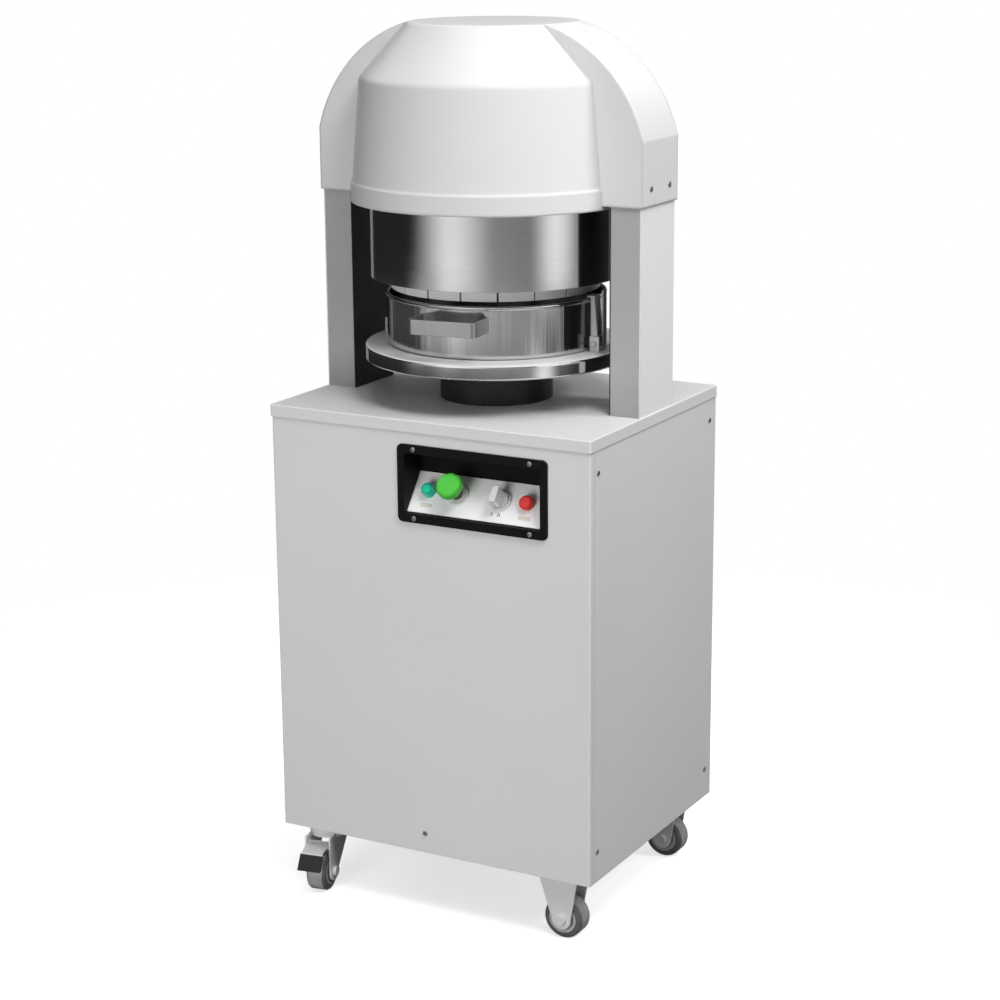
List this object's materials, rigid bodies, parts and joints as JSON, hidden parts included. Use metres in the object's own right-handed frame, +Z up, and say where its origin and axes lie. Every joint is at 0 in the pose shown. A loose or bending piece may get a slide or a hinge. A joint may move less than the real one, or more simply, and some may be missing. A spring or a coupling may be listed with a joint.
{
  "type": "dough divider",
  "caption": "Floor-standing electric dough divider with casters, sloped control panel, lifting table with clamped dough pan, knife head in a polished sleeve and a moulded hood.",
  "frame": {"origin": "on the floor under the axis of the ram", "axes": "+Z up, front with the control panel towards -Y, +X to the right seen from the front"},
  "size_m": [0.6231, 0.5611, 1.48],
  "materials": {
    "cabinet_paint": "satin light grey paint",
    "column_paint": "satin mid grey paint",
    "cover_paint": "satin light grey paint",
    "black_steel": "matt black paint",
    "white_moulding": "satin white moulding",
    "frame_paint": "satin grey paint",
    "stainless": "polished stainless steel",
    "bracket_steel": "brushed steel",
    "knife_steel": "ground steel",
    "cylinder_steel": "turned steel",
    "press_plastic": "food-grade white plastic",
    "press_aluminium": "machined",
    "bronze": "turned bronze",
    "gearbox_aluminium": "sand-cast",
    "motor_paint": "satin paint",
    "screw_steel": "zinc-plated",
    "control_black": "matt black",
    "console_white": "satin white paint",
    "collar_chrome": "bright",
    "lamp_teal": "clear teal lens",
    "button_green": "bright green",
    "button_red": "bright red",
    "selector_silver": "satin silver",
    "caster_steel": "zinc-plated",
    "pedal_black": "matt black",
    "wheel_rubber": "dark tread"
  },
  "bodies": {
    "machine": {"base_frame": "frame_paint", "front_panel": "cabinet_paint", "left_panel": "cabinet_paint", "right_panel": "cabinet_paint", "back_panel": "cabinet_paint", "top_plate": "cabinet_paint", "cover_screws": "screw_steel", "left_column": "column_paint", "right_column": "column_paint", "left_column_cover": "cover_paint", "right_column_cover": "cover_paint", "left_column_liner": "black_steel", "right_column_liner": "black_steel", "hood": "white_moulding", "head_beam": "frame_paint", "head_sleeve": "stainless", "press_blocks": "press_plastic", "press_plate": "press_aluminium", "press_posts": "knife_steel", "knife_cylinders": "cylinder_steel", "guide_housing": "black_steel", "ram_bushes": "bronze", "gearbox": "gearbox_aluminium", "motor": "motor_paint", "control_bezel": "control_black", "control_box": "control_black", "control_panel": "console_white", "button_collars": "collar_chrome", "power_lamp": "lamp_teal", "electrical_box": "frame_paint", "cable_gland": "control_black", "swivel_plates": "caster_steel", "front_right_fork": "caster_steel", "rear_right_fork": "caster_steel"},
    "lift": {"ram": "knife_steel", "rack": "knife_steel", "table": "stainless", "left_clamp_bracket": "bracket_steel", "right_clamp_bracket": "bracket_steel", "clamp_pins": "bracket_steel"},
    "pan": {"pan": "stainless", "pan_handle": "stainless"},
    "left_clamp": {"left_clamp": "stainless"},
    "right_clamp": {"right_clamp": "stainless"},
    "knives": {"knife_grid": "knife_steel", "knife_carrier": "knife_steel", "knife_plungers": "knife_steel"},
    "pinion": {"pinion": "knife_steel", "pinion_shaft": "knife_steel"},
    "start_button": {"start_button": "button_green"},
    "stop_button": {"stop_button": "button_red"},
    "selector": {"selector_knob": "selector_silver"},
    "front_left_swivel": {"front_left_fork": "caster_steel"},
    "rear_left_swivel": {"rear_left_fork": "caster_steel"},
    "front_left_wheel": {"front_left_wheel": "wheel_rubber"},
    "front_right_wheel": {"front_right_wheel": "wheel_rubber"},
    "rear_left_wheel": {"rear_left_wheel": "wheel_rubber"},
    "rear_right_wheel": {"rear_right_wheel": "wheel_rubber"},
    "front_left_brake": {"front_left_pedal": "pedal_black"},
    "rear_left_brake": {"rear_left_pedal": "pedal_black"}
  },
  "joints": [
    {"name": "table_lift", "type": "slide", "parent": "machine", "child": "lift", "axis": [0, 0, 1], "range_m": [0, 0.042]},
    {"name": "knife_cut", "type": "slide", "parent": "machine", "child": "knives", "axis": [0, 0, -1], "range_m": [0, 0.068], "stiffness_N_per_m": 500, "springref_m": -0.25},
    {"name": "pinion_turn", "type": "hinge", "parent": "machine", "child": "pinion", "pos_m": [0, 0.087, 0.615], "axis": [-1, 0, 0], "range_deg": [0, 67]},
    {"name": "pan_pull", "type": "slide", "parent": "lift", "child": "pan", "axis": [0, -1, 0], "range_m": [0, 0.45]},
    {"name": "left_clamp_swing", "type": "hinge", "parent": "lift", "child": "left_clamp", "pos_m": [-0.1945, -0.01, 0.9655], "axis": [0, -1, 0], "range_deg": [0, 4.6]},
    {"name": "right_clamp_swing", "type": "hinge", "parent": "lift", "child": "right_clamp", "pos_m": [0.1945, -0.01, 0.9655], "axis": [0, 1, 0], "range_deg": [0, 4.6]},
    {"name": "start_press", "type": "slide", "parent": "machine", "child": "start_button", "axis": [0, 0.788, -0.6157], "range_m": [0, 0.005], "stiffness_N_per_m": 600},
    {"name": "stop_press", "type": "slide", "parent": "machine", "child": "stop_button", "axis": [0, 0.788, -0.6157], "range_m": [0, 0.003], "stiffness_N_per_m": 600},
    {"name": "selector_turn", "type": "hinge", "parent": "machine", "child": "selector", "pos_m": [0.1235, -0.21077, 0.73516], "axis": [0, -0.788, 0.6157], "range_deg": [-45, 45]},
    {"name": "front_left_swivel_turn", "type": "hinge", "parent": "machine", "child": "front_left_swivel", "pos_m": [-0.235, -0.195, 0.113], "axis": [0, 0, 1], "continuous": true},
    {"name": "front_left_wheel_roll", "type": "hinge", "parent": "front_left_swivel", "child": "front_left_wheel", "pos_m": [-0.22944, -0.22651, 0.035], "axis": [0.9848, 0.1736, 0], "continuous": true},
    {"name": "front_left_brake_press", "type": "hinge", "parent": "front_left_swivel", "child": "front_left_brake", "pos_m": [-0.22771, -0.23636, 0.0855], "axis": [0.9848, 0.1736, 0], "range_deg": [0, 12]},
    {"name": "rear_left_swivel_turn", "type": "hinge", "parent": "machine", "child": "rear_left_swivel", "pos_m": [-0.235, 0.195, 0.113], "axis": [0, 0, 1], "continuous": true},
    {"name": "rear_left_wheel_roll", "type": "hinge", "parent": "rear_left_swivel", "child": "rear_left_wheel", "pos_m": [-0.25951, 0.21557, 0.035], "axis": [-0.6428, -0.766, 0], "continuous": true},
    {"name": "rear_left_brake_press", "type": "hinge", "parent": "rear_left_swivel", "child": "rear_left_brake", "pos_m": [-0.26717, 0.222, 0.0855], "axis": [-0.6428, -0.766, 0], "range_deg": [0, 12]},
    {"name": "front_right_wheel_roll", "type": "hinge", "parent": "machine", "child": "front_right_wheel", "pos_m": [0.235, -0.195, 0.035], "axis": [0, 1, 0], "continuous": true},
    {"name": "rear_right_wheel_roll", "type": "hinge", "parent": "machine", "child": "rear_right_wheel", "pos_m": [0.235, 0.195, 0.035], "axis": [0, 1, 0], "continuous": true}
  ],
  "couplings": [
    {"joint": "pinion_turn", "follows": "table_lift", "rad_per_m": 27.778}
  ]
}
